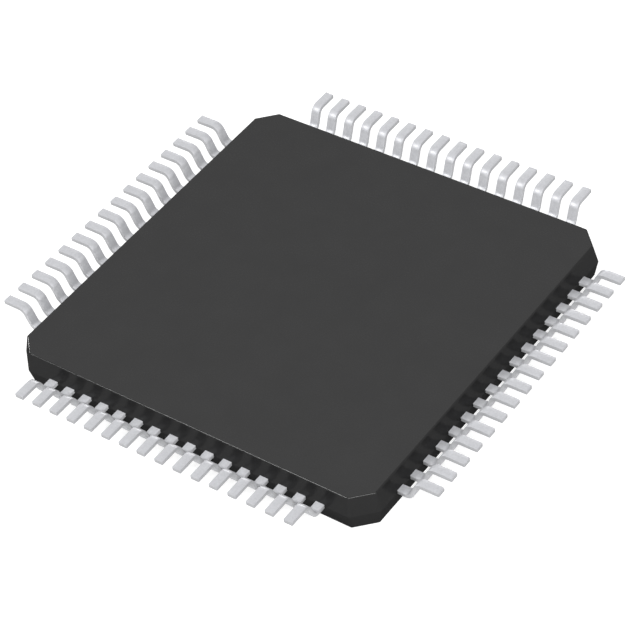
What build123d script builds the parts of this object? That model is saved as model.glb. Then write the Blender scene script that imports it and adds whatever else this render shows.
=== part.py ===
from build123d import *
import math
import os

os.makedirs("parts", exist_ok=True)

# A 64-lead thin quad flat package, lying on its marked face with its feet up, as in the photograph.
# Z = 0 is the marked face, the feet end on the solder plane, and lead 1 is at the +X, +Y corner.

# Moulded body
body_side = 10.0
body_thickness = 0.95
parting_height = 0.46
draft_angle = 12.5
corner_chamfer = 0.50
corner_edge_radius = 0.05
face_edge_radius = 0.05
dimple_diameter = 0.80
dimple_inset = 1.10
dimple_depth = 0.05

# Leads outside the body
leads_per_side = 16
lead_pitch = 0.50
lead_width = 0.23
frame_thickness = 0.10
lead_reach = 1.10
shoulder_reach = 0.36
riser_lean = 22.0
bend_inside_radius = 0.15
standoff = 0.05

# Lead fingers inside the body
finger_tip_pitch = 0.34
finger_tip_width = 0.15
finger_to_paddle = 0.45

# Die paddle and its tie bars
paddle_side = 5.2
paddle_downset = 0.20
tie_bar_width = 0.24
tie_bar_slope = 0.30
tie_bar_start = 0.35
tie_bar_cover = 0.15

# Die and the adhesive under it
die_side = 3.8
die_thickness = 0.23
attach_thickness = 0.025
attach_margin = 0.05

# Bond wires
wire_size = 0.025
pad_pitch = 0.21
pad_inset = 0.10
loop_height = 0.12
stitch_inset = 0.15

# How many like pieces share a file
leads_per_node = 2
wires_per_node = 4

lead_count = 4 * leads_per_side
middle_lead = (leads_per_side - 1) / 2
frame_low = parting_height - frame_thickness / 2
foot_low = body_thickness + standoff - frame_thickness
paddle_low = frame_low + paddle_downset
die_top = paddle_low - attach_thickness
die_face = die_top - die_thickness
finger_tip = paddle_side / 2 + finger_to_paddle


def along_row(index, pitch):
    """Where an item of a row of leads stands along its side of the body."""
    return (middle_lead - index) * pitch


def lead(index):
    """One lead of the +X side: a gull wing outside the parting line and a fanned finger inside it."""
    along = along_row(index, lead_pitch)
    root = body_side / 2
    knee = body_side / 2 + shoulder_reach
    heel = knee + (foot_low - frame_low) * math.tan(math.radians(riser_lean))
    with BuildPart() as gull_wing:
        with BuildSketch(Plane.XZ.offset(-along)):
            with BuildLine():
                underside = FilletPolyline(
                    (root, frame_low),
                    (knee, frame_low),
                    (heel, foot_low),
                    (body_side / 2 + lead_reach, foot_low),
                    radius=[bend_inside_radius + frame_thickness, bend_inside_radius],
                )
                offset(underside, amount=frame_thickness, side=Side.LEFT)
            make_face()
        extrude(amount=lead_width / 2, both=True)
        tip_along = along_row(index, finger_tip_pitch)
        with BuildSketch(Plane.XY.offset(frame_low)):
            with BuildLine():
                Polyline(
                    (root, along - lead_width / 2),
                    (root, along + lead_width / 2),
                    (finger_tip, tip_along + finger_tip_width / 2),
                    (finger_tip, tip_along - finger_tip_width / 2),
                    close=True,
                )
            make_face()
        extrude(amount=frame_thickness)
    return gull_wing.part


def bond_wire(index):
    """One wire of the +X side, square in section: up from its die pad, then aslant to its finger."""
    pad = Vector(die_side / 2 - pad_inset, along_row(index, pad_pitch))
    stitch = Vector(finger_tip + stitch_inset, along_row(index, finger_tip_pitch))
    run = stitch - pad
    loop_top = die_face - loop_height
    slope = (frame_low - loop_top) / run.length
    half = wire_size / 2
    half_aslant = half * math.hypot(1, slope)
    wire_plane = Plane(origin=pad, x_dir=run, z_dir=run.rotate(Axis.Z, -90))
    with BuildPart() as wire:
        with BuildSketch(wire_plane):
            with BuildLine():
                Polyline(
                    (-half, die_face),
                    (half, die_face),
                    (half, loop_top + slope * half + half_aslant),
                    (run.length - half_aslant / slope, frame_low),
                    (run.length + half_aslant / slope, frame_low),
                    (-half, loop_top - slope * half - half_aslant),
                    close=True,
                )
            make_face()
        extrude(amount=half, both=True)
    return wire.part


def on_its_side(pieces, number):
    """Adds piece number of a ring of four equal sides, turned from the +X side to its own."""
    quarter_turns = number // leads_per_side
    add(pieces[number % leads_per_side], rotation=(0, 0, -90 * quarter_turns))


def body_half(flat_face):
    """The body between the parting line and one flat face: drafted walls, rounded corners and rim."""
    toward_face = math.copysign(1, flat_face - parting_height)
    parting_plane = Plane(origin=(0, 0, parting_height), x_dir=(1, 0, 0), z_dir=(0, 0, toward_face))
    with BuildPart() as half:
        with BuildSketch(parting_plane) as outline:
            Rectangle(body_side, body_side)
            chamfer(outline.vertices(), corner_chamfer)
        extrude(amount=abs(flat_face - parting_height))
        walls = half.faces().filter_by(Axis.Z, reverse=True)
        draft(walls, parting_plane, draft_angle)
        corners = half.edges().filter_by(lambda edge: abs(edge.tangent_at(0.5).Z) > 0.5)
        fillet(corners, corner_edge_radius)
        rim = half.faces().filter_by_position(Axis.Z, flat_face, flat_face).edges()
        fillet(rim, face_edge_radius)
    return half.part


# Die paddle: a plate set up towards the feet, hung on four tie bars that slope back to the lead frame
bar_planes = [Plane.XZ.rotated((0, 0, turn)) for turn in (45, 135, 225, 315)]
paddle_corner = paddle_side / math.sqrt(2)
bar_end = (body_side - corner_chamfer) / math.sqrt(2) - tie_bar_cover
with BuildPart() as paddle:
    with BuildSketch(Plane.XY.offset(paddle_low)):
        Rectangle(paddle_side, paddle_side)
    extrude(amount=frame_thickness)
    with BuildSketch(*bar_planes):
        with BuildLine():
            bar = Polyline(
                (paddle_corner - tie_bar_width, paddle_low),
                (paddle_corner + tie_bar_start, paddle_low),
                (paddle_corner + tie_bar_start + tie_bar_slope, frame_low),
                (bar_end, frame_low),
            )
            offset(bar, amount=frame_thickness, kind=Kind.INTERSECTION, side=Side.LEFT)
        make_face()
    extrude(amount=tie_bar_width / 2, both=True)
paddle.part.label = "die_paddle"
export_step(paddle.part, "parts/die_paddle.step")

# Die attach: the thin adhesive layer between paddle and die
with BuildPart() as attach:
    with BuildSketch(Plane.XY.offset(die_top)):
        Rectangle(die_side + 2 * attach_margin, die_side + 2 * attach_margin)
    extrude(amount=attach_thickness)
attach.part.label = "die_attach"
export_step(attach.part, "parts/die_attach.step")

# Die: its active face looks at the marked face of the body
with BuildPart() as die:
    with BuildSketch(Plane.XY.offset(die_face)):
        Rectangle(die_side, die_side)
    extrude(amount=die_thickness)
die.part.label = "die"
export_step(die.part, "parts/die.step")

# Leads, two to a node, numbered as on the real part
row_of_leads = [lead(index) for index in range(leads_per_side)]
lead_groups = []
for first in range(0, lead_count, leads_per_node):
    with BuildPart() as lead_group:
        for number in range(first, first + leads_per_node):
            on_its_side(row_of_leads, number)
    lead_group.part.label = f"leads_{first + 1:02d}_{first + leads_per_node:02d}"
    export_step(lead_group.part, f"parts/{lead_group.part.label}.step")
    lead_groups.append(lead_group.part)

# Bond wires, four to a node, numbered with their leads
row_of_wires = [bond_wire(index) for index in range(leads_per_side)]
wire_groups = []
for first in range(0, lead_count, wires_per_node):
    with BuildPart() as wire_group:
        for number in range(first, first + wires_per_node):
            on_its_side(row_of_wires, number)
    wire_group.part.label = f"bond_wires_{first + 1:02d}_{first + wires_per_node:02d}"
    export_step(wire_group.part, f"parts/{wire_group.part.label}.step")
    wire_groups.append(wire_group.part)

# Body: two drafted halves that meet on the parting line, moulded round everything above
body_halves = [body_half(0), body_half(body_thickness)]
dimple_place = body_side / 2 - dimple_inset
with BuildPart() as body:
    add(body_halves)
    with BuildSketch():
        with Locations((dimple_place, dimple_place)):
            Circle(dimple_diameter / 2)
    extrude(amount=dimple_depth, taper=draft_angle, mode=Mode.SUBTRACT)
    add([paddle.part, attach.part, die.part], mode=Mode.SUBTRACT)
    add(lead_groups, mode=Mode.SUBTRACT)
    add(wire_groups, mode=Mode.SUBTRACT)
body.part.label = "body"
export_step(body.part, "parts/body.step")
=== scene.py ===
# Studio picture of a 64-lead thin quad flat package lying on its marked face, feet up.
# Everything is in metres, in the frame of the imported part: Z = 0 is the marked face.
import math

import bmesh
import bpy
from mathutils import Matrix, Vector


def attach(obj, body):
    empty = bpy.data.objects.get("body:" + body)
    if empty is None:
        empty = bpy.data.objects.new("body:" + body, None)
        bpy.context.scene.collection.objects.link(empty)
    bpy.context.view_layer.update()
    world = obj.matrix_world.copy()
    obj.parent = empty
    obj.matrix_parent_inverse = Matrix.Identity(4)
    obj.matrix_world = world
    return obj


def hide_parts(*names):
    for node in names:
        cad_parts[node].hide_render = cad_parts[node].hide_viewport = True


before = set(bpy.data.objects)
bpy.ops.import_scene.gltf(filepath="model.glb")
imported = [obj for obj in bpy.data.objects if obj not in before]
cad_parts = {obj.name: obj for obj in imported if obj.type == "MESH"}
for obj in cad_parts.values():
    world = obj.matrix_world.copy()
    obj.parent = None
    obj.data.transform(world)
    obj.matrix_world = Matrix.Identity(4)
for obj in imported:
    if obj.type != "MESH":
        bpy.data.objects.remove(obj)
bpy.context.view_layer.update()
scene = bpy.context.scene
mm = 0.001
tiny = 1e-8  # two places closer than this are one
print("frame loaded:", len(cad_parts), "nodes")


class Signal:
    # one output of a node; maths written on it adds the nodes that work it out
    def __init__(self, finish, socket):
        self.finish = finish
        self.socket = socket

    def mathNode(self, operation, first, second):
        return self.finish.node("ShaderNodeMath", {"operation": operation}, {0: first, 1: second})

    def __add__(self, other):
        return self.mathNode("ADD", self, other)

    def __radd__(self, other):
        return self.mathNode("ADD", other, self)

    def __sub__(self, other):
        return self.mathNode("SUBTRACT", self, other)

    def __rsub__(self, other):
        return self.mathNode("SUBTRACT", other, self)

    def __mul__(self, other):
        return self.mathNode("MULTIPLY", self, other)

    def __rmul__(self, other):
        return self.mathNode("MULTIPLY", other, self)


noiseLook = {
    "roughness": 0.55,
    "range": (0.3, 0.7),  # where nearly all values of a noise lie
}


class Finish:
    # a node tree being filled: one method adds any node and hands back one of its outputs
    def __init__(self, owner):
        owner.use_nodes = True
        self.owner = owner
        self.tree = owner.node_tree
        self.tree.nodes.clear()

    def node(self, kind, settings=None, sockets=None, output=0):
        made = self.tree.nodes.new(kind)
        for name, value in (settings or {}).items():
            setattr(made, name, value)
        for key, value in (sockets or {}).items():
            if isinstance(value, Signal):
                self.tree.links.new(value.socket, made.inputs[key])
            else:
                made.inputs[key].default_value = value
        return Signal(self, made.outputs[output]) if made.outputs else None

    def objectPlace(self):
        return self.node("ShaderNodeTexCoord", output="Object")

    def noise(self, place, size, detail):
        # size is the width in metres of one blotch
        return self.node("ShaderNodeTexNoise", None, {
            "Vector": place, "Scale": 1 / size, "Detail": detail, "Roughness": noiseLook["roughness"]})

    def remap(self, signal, source, target):
        # the range source becomes the range target, and what lies outside stops at its ends
        return self.node("ShaderNodeMapRange", {"clamp": True}, {
            "Value": signal, "From Min": source[0], "From Max": source[1],
            "To Min": target[0], "To Max": target[1]})

    def spread(self, noise, low, high):
        return self.remap(noise, noiseLook["range"], (low, high))

    def blend(self, share, first, second):
        # colours: first where share is 0, second where it is 1
        return self.node("ShaderNodeMix", {"data_type": "RGBA"}, {0: share, 6: first, 7: second}, output=2)

    def bump(self, height, depth):
        return self.node("ShaderNodeBump", None, {"Height": height, "Distance": depth, "Strength": 1.0})

    def surface(self, shader):
        self.node("ShaderNodeOutputMaterial", None, {"Surface": shader})
        return self.owner

    def shader(self, sockets):
        return self.surface(self.node("ShaderNodeBsdfPrincipled", None, sockets))


def newFinish(name):
    return Finish(bpy.data.materials.new(name))


def rgb(red, green, blue):
    return (red, green, blue, 1.0)


compound = {
    "grain": 0.045 * mm,
    "filler": 0.02025 * mm,
    "cloud": 0.9 * mm,
    "cloudShare": 0.25,
    "grainHeight": 0.0010 * mm,
    # the flat faces come matt from the mould and the drafted walls smoother; the walls' darker colour is
    # painted shade
    "face": {"name": "compoundFace", "colour": rgb(0.0320, 0.0320, 0.0322),
             "paleColour": rgb(0.0400, 0.0400, 0.0402), "roughness": (0.22, 0.30), "sheen": 0.010},
    "wall": {"name": "compoundWallPaintedShade", "colour": rgb(0.0140, 0.0140, 0.0142),
             "paleColour": rgb(0.0180, 0.0180, 0.0182), "roughness": (0.12, 0.18), "sheen": 0.016},
}


def mouldingCompound(look):
    finish = newFinish(look["name"])
    place = finish.objectPlace()
    grain = finish.noise(place, compound["grain"], 3.0)
    cloud = finish.noise(place, compound["cloud"], 2.0) * compound["cloudShare"]
    filler = finish.noise(place, compound["filler"], 1.0)
    fineShare = 1 - compound["cloudShare"]
    tone = finish.spread(cloud + filler * fineShare, 0.0, 1.0)
    roughness = finish.spread(cloud + grain * fineShare, *look["roughness"])
    normal = finish.bump(grain, compound["grainHeight"])
    resin = finish.node("ShaderNodeBsdfPrincipled", None, {
        "Base Color": finish.blend(tone, look["colour"], look["paleColour"]),
        "Roughness": roughness, "Specular IOR Level": 0.0, "Normal": normal})
    sheen = finish.node("ShaderNodeBsdfPrincipled", None, {
        "Base Color": rgb(1, 1, 1), "Metallic": 1.0, "Roughness": roughness, "Normal": normal})
    return finish.surface(finish.node("ShaderNodeMixShader", None, {0: look["sheen"], 1: resin, 2: sheen}))


tin = {
    "colour": rgb(0.530, 0.535, 0.558),
    "dullColour": rgb(0.430, 0.435, 0.455),
    # the risers and bends get lighter colours as painted light against their shade
    "paintedLightColour": rgb(0.665, 0.671, 0.697),
    "dullPaintedLightColour": rgb(0.545, 0.551, 0.576),
    "paintedLightHeights": (0.78 * mm, 0.95 * mm),  # where the lighter colour, painted light on the risers and bends, fades to that of the feet
    "metallic": 0.22,
    "roughness": (0.36, 0.45),
    "grain": 0.05 * mm,
    "patch": 0.22 * mm,
    "patchShareOfTone": 0.3,
    "patchShareOfRoughness": 0.5,
    "grainHeight": 0.0009 * mm,
}


def paintedLightFade(finish, place):
    # 1 on the feet, 0 on the risers and bends, whose lighter colour is painted light for the shade there
    height = finish.node("ShaderNodeSeparateXYZ", None, {0: place}, output="Z")
    return finish.remap(height, tin["paintedLightHeights"], (0.0, 1.0))


def tinPlate():
    finish = newFinish("tinPlate")
    place = finish.objectPlace()
    grain = finish.noise(place, tin["grain"], 3.0)
    patch = finish.noise(place, tin["patch"], 2.0)
    toneShare = tin["patchShareOfTone"]
    roughShare = tin["patchShareOfRoughness"]
    tone = finish.spread(grain * (1 - toneShare) + patch * toneShare, 0.0, 1.0)
    flat = finish.blend(tone, tin["dullColour"], tin["colour"])
    # painted light: a lighter colour for the risers and bends
    paintedLightBlend = finish.blend(tone, tin["dullPaintedLightColour"], tin["paintedLightColour"])
    return finish.shader({
        "Base Color": finish.blend(paintedLightFade(finish, place), paintedLightBlend, flat),
        "Metallic": tin["metallic"],
        "Roughness": finish.spread(grain * (1 - roughShare) + patch * roughShare, *tin["roughness"]),
        "Normal": finish.bump(grain, tin["grainHeight"]),
    })


cutSide = {
    "colour": rgb(0.440, 0.444, 0.458),
    "paleColour": rgb(0.495, 0.499, 0.514),
    # the sides of the risers and bends get lighter colours as painted light against their shade
    "paintedLightColour": rgb(0.560, 0.565, 0.582),
    "palePaintedLightColour": rgb(0.620, 0.625, 0.643),
    "roughness": (0.38, 0.52),
    "grain": 0.03 * mm,
    "grainHeight": 0.00135 * mm,
    "stretch": (1.0, 1.0, 0.25),  # the punch marks run up and down
}


def tinCutSide():
    # the sheared sides and tips of the leads, plated over the punch marks; on the risers and bends they are
    # lighter as painted light
    finish = newFinish("tinCutSide")
    place = finish.objectPlace()
    marks = finish.node("ShaderNodeMapping", None, {"Vector": place, "Scale": cutSide["stretch"]})
    grain = finish.noise(marks, cutSide["grain"], 2.0)
    tone = finish.spread(grain, 0.0, 1.0)
    flat = finish.blend(tone, cutSide["colour"], cutSide["paleColour"])
    # painted light: a lighter colour for the sides of the risers and bends
    paintedLightBlend = finish.blend(tone, cutSide["paintedLightColour"], cutSide["palePaintedLightColour"])
    return finish.shader({
        "Base Color": finish.blend(paintedLightFade(finish, place), paintedLightBlend, flat),
        "Metallic": tin["metallic"],
        "Roughness": finish.spread(grain, *cutSide["roughness"]),
        "Normal": finish.bump(grain, cutSide["grainHeight"]),
    })


inner = {
    "copperPaddle": {"dark": rgb(0.60, 0.29, 0.17), "light": rgb(0.78, 0.42, 0.27), "metal": 1.0,
                     "roughness": (0.28, 0.42), "grain": 0.06 * mm, "height": 0.001 * mm},
    "silverAdhesive": {"dark": rgb(0.34, 0.34, 0.33), "light": rgb(0.52, 0.52, 0.50), "metal": 0.0,
                       "roughness": (0.5, 0.7), "grain": 0.03 * mm, "height": 0.002 * mm},
    "siliconDie": {"dark": rgb(0.10, 0.11, 0.13), "light": rgb(0.17, 0.18, 0.21), "metal": 0.0,
                   "roughness": (0.12, 0.25), "grain": 0.12 * mm, "height": 0.0003 * mm},
    "goldWire": {"dark": rgb(0.86, 0.58, 0.24), "light": rgb(1.0, 0.74, 0.36), "metal": 1.0,
                 "roughness": (0.16, 0.26), "grain": 0.02 * mm, "height": 0.0003 * mm},
}


def innerFinish(name):
    look = inner[name]
    finish = newFinish(name)
    grain = finish.noise(finish.objectPlace(), look["grain"], 2.0)
    tone = finish.spread(grain, 0.0, 1.0)
    return finish.shader({
        "Base Color": finish.blend(tone, look["dark"], look["light"]),
        "Metallic": look["metal"],
        "Roughness": finish.spread(grain, *look["roughness"]),
        "Normal": finish.bump(grain, look["height"]),
    })


bodyFinishes = [mouldingCompound(compound["face"]), mouldingCompound(compound["wall"])]
leadFinishes = [tinPlate(), tinCutSide()]
innerFinishes = {name: innerFinish(name) for name in inner}
print("finishes made")


def only(kind, items):
    return [item for item in items if isinstance(item, kind)]


def unique(items):
    return list(dict.fromkeys(items))


def bevelEdges(mesh, edges, width, steps):
    bmesh.ops.bevel(mesh, geom=edges, offset=width, offset_type="OFFSET", segments=steps,
                    profile=0.5, affect="EDGES", material=-1, clamp_overlap=True)


def finishPiece(name, mesh, materials, nodes, smoothAngle):
    bmesh.ops.remove_doubles(mesh, verts=mesh.verts, dist=tiny)
    bmesh.ops.recalc_face_normals(mesh, faces=mesh.faces)
    data = bpy.data.meshes.new(name)
    mesh.to_mesh(data)
    mesh.free()
    for material in materials:
        data.materials.append(material)
    data.shade_smooth()
    data.set_sharp_from_angle(angle=math.radians(smoothAngle))
    piece = bpy.data.objects.new(name, data)
    scene.collection.objects.link(piece)
    # the flats keep their own normals, so only the bends and rounded edges shade round
    weighted = piece.modifiers.new("flatFaces", "WEIGHTED_NORMAL")
    weighted.mode = "FACE_AREA"
    weighted.weight = 100  # the largest face at a corner decides
    weighted.keep_sharp = True
    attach(piece, "root")
    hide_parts(*nodes)
    return piece


body = {
    "side": 10.0 * mm,
    "height": 0.95 * mm,
    "partingHeight": 0.46 * mm,
    "draft": 12.5,
    "cornerChamfer": 0.50 * mm,
    "cornerTurn": 45.0,  # degrees that the outline turns at each of its eight corners
    "cornerRadius": 0.05 * mm,
    "cornerSteps": 3,
    "rimReach": 0.040 * mm,  # gives the rims a radius of 0.05 mm
    "rimSteps": 5,
    "cutFromCorner": 0.035 * mm,
    "flatNormal": 0.98,  # a face that looks more upright than this is one of the flat ones
    "dimpleSize": 0.80 * mm,
    "dimpleInset": 1.10 * mm,
    "dimpleDepth": 0.05 * mm,
    "dimpleSteps": 40,
    "smoothAngle": 20,
}
halfSide = body["side"] / 2
draftPull = math.tan(math.radians(body["draft"]))
cornerPull = math.tan(math.radians(body["cornerTurn"] / 2))


def makeBody():
    # an octagon on the parting line, drawn up and down with draft
    mesh = bmesh.new()
    bmesh.ops.create_grid(mesh, x_segments=1, y_segments=1, size=halfSide)
    bmesh.ops.translate(mesh, verts=mesh.verts, vec=(0, 0, body["partingHeight"]))
    bmesh.ops.bevel(mesh, geom=mesh.verts[:], offset=body["cornerChamfer"], offset_type="OFFSET", segments=1,
                    profile=0.5, affect="VERTICES", material=-1)
    outline = mesh.faces[:]
    for top in (0.0, body["height"]):
        made = bmesh.ops.extrude_face_region(mesh, geom=outline, use_keep_orig=True)
        corners = only(bmesh.types.BMVert, made["geom"])
        rise = top - body["partingHeight"]
        bmesh.ops.translate(mesh, verts=corners, vec=(0, 0, rise))
        drawIn(corners, abs(rise) * draftPull)
    bmesh.ops.delete(mesh, geom=outline, context="FACES_ONLY")
    return mesh


def drawIn(corners, shrink):
    # every wall moves in by the same distance, so the octagon keeps its angles
    slide = shrink * cornerPull
    for corner in corners:
        x, y = corner.co.x, corner.co.y
        if abs(abs(x) - halfSide) < tiny:
            corner.co.x = math.copysign(halfSide - shrink, x)
            corner.co.y = math.copysign(abs(y) - slide, y)
        else:
            corner.co.y = math.copysign(halfSide - shrink, y)
            corner.co.x = math.copysign(abs(x) - slide, x)


def isLevel(edge):
    return abs(edge.verts[0].co.z - edge.verts[1].co.z) < tiny


def roundBody(mesh):
    corners = [edge for edge in mesh.edges if not isLevel(edge)]
    bevelEdges(mesh, corners, body["cornerRadius"] * cornerPull, body["cornerSteps"])
    rims = [edge for edge in mesh.edges if isLevel(edge)
            and min(abs(edge.verts[0].co.z), abs(edge.verts[0].co.z - body["height"])) < tiny]
    bevelEdges(mesh, rims, body["rimReach"], body["rimSteps"])


def cutBesideCorners(mesh):
    # cuts across the walls just beside the corners keep the corners' round shading off the long rims
    slide = (body["height"] - body["partingHeight"]) * draftPull * cornerPull
    wallReach = halfSide - body["cornerChamfer"] - slide - body["cutFromCorner"]
    chamferReach = body["cornerChamfer"] / math.sqrt(2) - slide - body["cutFromCorner"]
    cuts = (((1, 0, 0), wallReach), ((0, 1, 0), wallReach),
            ((1, 1, 0), chamferReach), ((1, -1, 0), chamferReach))
    for way, reach in cuts:
        way = Vector(way).normalized()
        for side in (-1, 1):
            mesh.normal_update()
            walls = [face for face in mesh.faces if abs(face.normal.z) < body["flatNormal"]]
            edges = unique(edge for face in walls for edge in face.edges)
            corners = unique(corner for face in walls for corner in face.verts)
            bmesh.ops.bisect_plane(mesh, geom=walls + edges + corners, dist=tiny,
                                   plane_co=way * reach * side, plane_no=way)


def cutDimple(mesh):
    # the round pit on the marked face, near lead 1
    lowest = [face for face in mesh.faces if abs(face.calc_center_median().z) < tiny]
    face = max(lowest, key=lambda lowFace: lowFace.calc_area())
    place = halfSide - body["dimpleInset"]
    radius = body["dimpleSize"] / 2
    made = bmesh.ops.create_circle(mesh, cap_ends=False, segments=body["dimpleSteps"], radius=radius,
                                   matrix=Matrix.Translation((place, place, 0.0)))
    ring = unique(edge for corner in made["verts"] for edge in corner.link_edges)
    outer = list(face.edges)
    bmesh.ops.delete(mesh, geom=[face], context="FACES_ONLY")
    bmesh.ops.triangle_fill(mesh, use_beauty=True, use_dissolve=False, edges=ring + outer)
    deep = bmesh.ops.extrude_edge_only(mesh, edges=ring)
    lower = only(bmesh.types.BMVert, deep["geom"])
    lowerEdges = [edge for edge in only(bmesh.types.BMEdge, deep["geom"])
                  if edge.verts[0] in lower and edge.verts[1] in lower]
    bmesh.ops.translate(mesh, verts=lower, vec=(0, 0, body["dimpleDepth"]))
    narrow = 1 - body["dimpleDepth"] * draftPull / radius
    bmesh.ops.scale(mesh, verts=lower, vec=(narrow, narrow, 1),
                    space=Matrix.Translation((-place, -place, 0)))
    bmesh.ops.edgenet_fill(mesh, edges=lowerEdges)


bodyMesh = makeBody()
roundBody(bodyMesh)
cutBesideCorners(bodyMesh)
cutDimple(bodyMesh)
# walls and rims take the wall finish, whose darker colour is painted shade
for face in bodyMesh.faces:
    face.material_index = 1 if abs(face.normal.z) < body["flatNormal"] else 0
bodyPiece = finishPiece("mouldedBody", bodyMesh, bodyFinishes, ["body"], body["smoothAngle"])
print("body made:", len(bodyPiece.data.polygons), "faces")


leads = {
    "perSide": 16,
    "perPiece": 2,
    "pitch": 0.50 * mm,
    "width": 0.23 * mm,
    "thickness": 0.10 * mm,
    "reach": 1.10 * mm,
    "shoulder": 0.36 * mm,
    "lean": 22.0,
    "bendInside": 0.15 * mm,
    "bendSteps": 8,
    "footTop": 1.00 * mm,
    "fingerTip": 3.05 * mm,
    "fingerTipPitch": 0.34 * mm,
    "fingerTipWidth": 0.15 * mm,
    "tipRound": 0.02 * mm,
    "tipSteps": 3,
    "sharpAngle": 60,
    "edgeRound": 0.008 * mm,
    "edgeSteps": 2,
    "sideNormal": 0.75,  # faces that look sideways or off the tip more than this were sheared
    "tipNormal": 0.9,
    "smoothAngle": 40,
}
leadTip = halfSide + leads["reach"]


def alongRow(index, pitch):
    return ((leads["perSide"] - 1) / 2 - index) * pitch


def dropCap(mesh, face):
    # an end face that the strip has grown on from would lie inside it
    if face.is_valid and all(len(edge.link_faces) > 2 for edge in face.edges):
        bmesh.ops.delete(mesh, geom=[face], context="FACES_ONLY")


def pushOut(mesh, face, way):
    # extrudes the end face of the strip by a vector and gives the new end face
    made = bmesh.ops.extrude_face_region(mesh, geom=[face])
    end = only(bmesh.types.BMFace, made["geom"])[0]
    bmesh.ops.translate(mesh, verts=end.verts[:], vec=way)
    dropCap(mesh, face)
    return end


def bend(mesh, face, centre, degrees):
    made = bmesh.ops.spin(mesh, geom=[face], cent=centre, axis=(0, 1, 0), dvec=(0, 0, 0),
                          angle=math.radians(degrees), steps=leads["bendSteps"], use_merge=False)
    dropCap(mesh, face)
    return only(bmesh.types.BMFace, made["geom_last"])[0]


def makeLead(index):
    # one lead of the +X side, drawn as a strip from the tip of its foot to its finger
    across = alongRow(index, leads["pitch"])
    halfWidth = leads["width"] / 2
    thick = leads["thickness"]
    inside = leads["bendInside"]
    low = body["partingHeight"] - thick / 2
    footLow = leads["footTop"] - thick
    lean = math.radians(leads["lean"])
    turn = 90 - leads["lean"]
    cut = math.tan(math.radians(turn / 2))
    knee = halfSide + leads["shoulder"]
    heel = knee + (footLow - low) * math.tan(lean)
    heelStart = heel + inside * cut
    kneeStart = knee - (inside + thick) * cut
    mesh = bmesh.new()
    corners = [mesh.verts.new((leadTip, across + side * halfWidth, footLow + up * thick))
               for side, up in ((-1, 0), (1, 0), (1, 1), (-1, 1))]
    face = mesh.faces.new(corners)
    face = pushOut(mesh, face, (heelStart - leadTip, 0, 0))
    face = bend(mesh, face, (heelStart, across, footLow - inside), -turn)
    # the riser runs straight between the two bends
    kneeBend = Vector((kneeStart, across, low + thick + inside))
    slope = Vector((-math.sin(lean), 0, -math.cos(lean)))
    run = (kneeBend - face.calc_center_median()).dot(slope)
    face = pushOut(mesh, face, slope * run)
    face = bend(mesh, face, kneeBend, turn)
    face = pushOut(mesh, face, (halfSide - kneeStart, 0, 0))
    # inside the body the finger fans in and narrows
    sideways = alongRow(index, leads["fingerTipPitch"]) - across
    face = pushOut(mesh, face, (leads["fingerTip"] - halfSide, sideways, 0))
    narrow = leads["fingerTipWidth"] / leads["width"]
    bmesh.ops.scale(mesh, verts=face.verts[:], vec=(1, narrow, 1),
                    space=Matrix.Translation(-face.calc_center_median()))
    return mesh


def softenLead(mesh):
    # rounds the foot's tip corners and every long edge, then marks the sheared faces
    bmesh.ops.recalc_face_normals(mesh, faces=mesh.faces)
    tipCorners = [edge for edge in mesh.edges
                  if all(abs(corner.co.x - leadTip) < tiny for corner in edge.verts)
                  and abs(edge.verts[0].co.y - edge.verts[1].co.y) < tiny]
    bevelEdges(mesh, tipCorners, leads["tipRound"], leads["tipSteps"])
    sharpEdges = [edge for edge in mesh.edges
                  if edge.is_manifold and edge.calc_face_angle() > math.radians(leads["sharpAngle"])]
    bevelEdges(mesh, sharpEdges, leads["edgeRound"], leads["edgeSteps"])
    for face in mesh.faces:
        nearTip = face.calc_center_median().x > leadTip - leads["thickness"]
        tipFace = nearTip and face.normal.x > leads["tipNormal"]
        face.material_index = 1 if tipFace or abs(face.normal.y) > leads["sideNormal"] else 0


rowMeshes = []
for index in range(leads["perSide"]):
    strip = makeLead(index)
    softenLead(strip)
    data = bpy.data.meshes.new("leadStrip")
    strip.to_mesh(data)
    strip.free()
    rowMeshes.append(data)

leadPieces = []
for first in range(0, 4 * leads["perSide"], leads["perPiece"]):
    pair = bmesh.new()
    for number in range(first, first + leads["perPiece"]):
        before = len(pair.verts)
        pair.from_mesh(rowMeshes[number % leads["perSide"]])
        pair.verts.ensure_lookup_table()
        quarter = number // leads["perSide"]
        bmesh.ops.rotate(pair, verts=pair.verts[before:], cent=(0, 0, 0),
                         matrix=Matrix.Rotation(math.radians(-90 * quarter), 3, "Z"))
    label = f"{first + 1:02d}_{first + leads['perPiece']:02d}"
    leadPieces.append(finishPiece("tinnedLeads_" + label, pair, leadFinishes,
                                  ["leads_" + label], leads["smoothAngle"]))
for data in rowMeshes:
    bpy.data.meshes.remove(data)
print("leads made:", len(leadPieces), "pieces of", len(leadPieces[0].data.polygons), "faces")


def dress(nodeName, material):
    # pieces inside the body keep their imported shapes
    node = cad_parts[nodeName]
    node.data.materials.clear()
    node.data.materials.append(material)


dress("die_paddle", innerFinishes["copperPaddle"])
dress("die_attach", innerFinishes["silverAdhesive"])
dress("die", innerFinishes["siliconDie"])
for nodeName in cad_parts:
    if nodeName.startswith("bond_wires"):
        dress(nodeName, innerFinishes["goldWire"])
print("inner pieces dressed")


studio = {
    "floorSize": 1.2,
    "floorGap": 0.002 * mm,
    "floorColour": rgb(0.50, 0.50, 0.50),
    "floorRough": 0.9,
    "floorGlow": 0.75,  # with the lamps' light this makes the floor white
    "farFloorGlow": 0.87,  # the lamps hardly reach there, and no horizon may show
    "farFloor": (0.04, 0.30),
    "floorMirrorGlow": 0.45,
    "worldStrength": 0.28,
    "lampDistance": 0.30,
}


def cameraRay(finish):
    return finish.node("ShaderNodeLightPath", output="Is Camera Ray")


def mirrorRay(finish):
    # rays off metal and through glass, which see the white background too
    path = "ShaderNodeLightPath"
    return finish.node(path, output="Is Glossy Ray") + finish.node(path, output="Is Transmission Ray")


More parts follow.
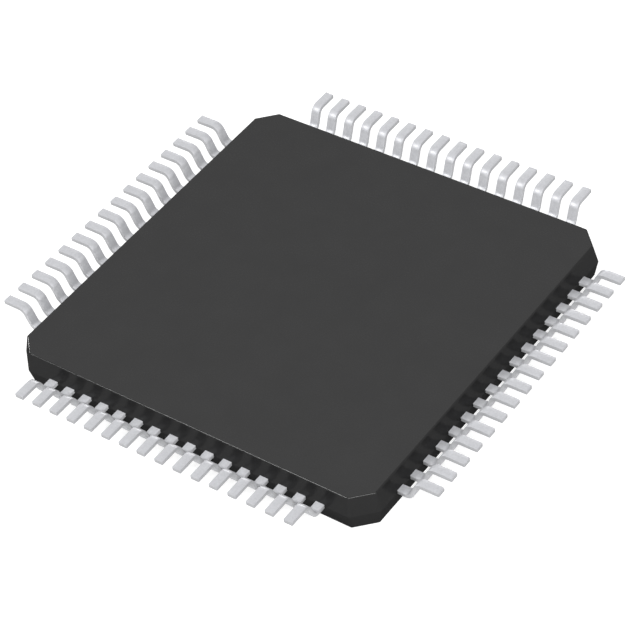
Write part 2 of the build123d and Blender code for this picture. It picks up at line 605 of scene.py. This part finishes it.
def makeFloor():
    mesh = bmesh.new()
    bmesh.ops.create_grid(mesh, x_segments=1, y_segments=1, size=studio["floorSize"] / 2)
    bmesh.ops.translate(mesh, verts=mesh.verts, vec=(0, 0, -studio["floorGap"]))
    data = bpy.data.meshes.new("studioFloor")
    mesh.to_mesh(data)
    mesh.free()
    floor = bpy.data.objects.new("studioFloor", data)
    scene.collection.objects.link(floor)
    finish = newFinish("paperWhite")
    place = finish.objectPlace()
    reach = finish.node("ShaderNodeVectorMath", {"operation": "LENGTH"}, {0: place}, output="Value")
    glowSeen = finish.remap(reach, studio["farFloor"], (studio["floorGlow"], studio["farFloorGlow"]))
    glow = cameraRay(finish) * glowSeen + mirrorRay(finish) * studio["floorMirrorGlow"]
    data.materials.append(finish.shader({
        "Base Color": studio["floorColour"], "Roughness": studio["floorRough"], "Specular IOR Level": 0.0,
        "Emission Color": rgb(1, 1, 1), "Emission Strength": glow}))


def makeWorld():
    # white where it is seen, and weaker as a light
    world = bpy.data.worlds.new("softRoom")
    scene.world = world
    finish = Finish(world)
    anySight = cameraRay(finish) + mirrorRay(finish)
    seen = finish.node("ShaderNodeMath", {"operation": "MINIMUM"}, {0: anySight, 1: 1.0})
    strength = seen + (1 - seen) * studio["worldStrength"]
    light = finish.node("ShaderNodeBackground", None, {"Color": rgb(1, 1, 1), "Strength": strength})
    finish.node("ShaderNodeOutputWorld", None, {"Surface": light})


lamps = {
    "frontSoftbox": {"toward": (0.47, -0.45, 0.76), "size": (0.13, 0.12), "radiance": 11.4},
    "leftSoftbox": {"toward": (-0.44, -0.585, 0.68), "size": (0.075, 0.06), "radiance": 27.0},
    "sideFill": {"toward": (0.80, -0.10, 0.60), "size": (0.18, 0.18), "radiance": 2.4},
    "lowStrip": {"toward": (-0.98, 0.04, 0.18), "size": (0.014, 0.022), "radiance": 270.0},
    "backStrip": {"toward": (-0.48, 0.86, 0.20), "size": (0.08, 0.02), "radiance": 30.0},
}


def makeLamp(name, look):
    light = bpy.data.lights.new(name, "AREA")
    light.shape = "RECTANGLE"
    light.size, light.size_y = look["size"]
    light.energy = look["radiance"] * math.pi * light.size * light.size_y
    lamp = bpy.data.objects.new(name, light)
    scene.collection.objects.link(lamp)
    toward = Vector(look["toward"]).normalized()
    lamp.location = toward * studio["lampDistance"]
    lamp.rotation_euler = toward.to_track_quat("Z", "Y").to_euler()


makeFloor()
makeWorld()
for name, look in lamps.items():
    makeLamp(name, look)
print("studio made:", len(lamps), "lamps")


view = {
    "place": (28.7504 * mm, -33.1054 * mm, 41.3690 * mm),
    "turn": (46.3726, 5.7796, 35.3352),
    "lens": 145.240,
    "sensor": 36.0,
    "nearest": 1 * mm,
    "farthest": 5.0,
}

lensData = bpy.data.cameras.new("studioCamera")
lensData.sensor_width = view["sensor"]
lensData.lens = view["lens"]
lensData.clip_start = view["nearest"]
lensData.clip_end = view["farthest"]
camera = bpy.data.objects.new("studioCamera", lensData)
camera.location = view["place"]
camera.rotation_euler = [math.radians(angle) for angle in view["turn"]]
scene.collection.objects.link(camera)
scene.camera = camera
scene.view_settings.view_transform = "Standard"
print("camera set")
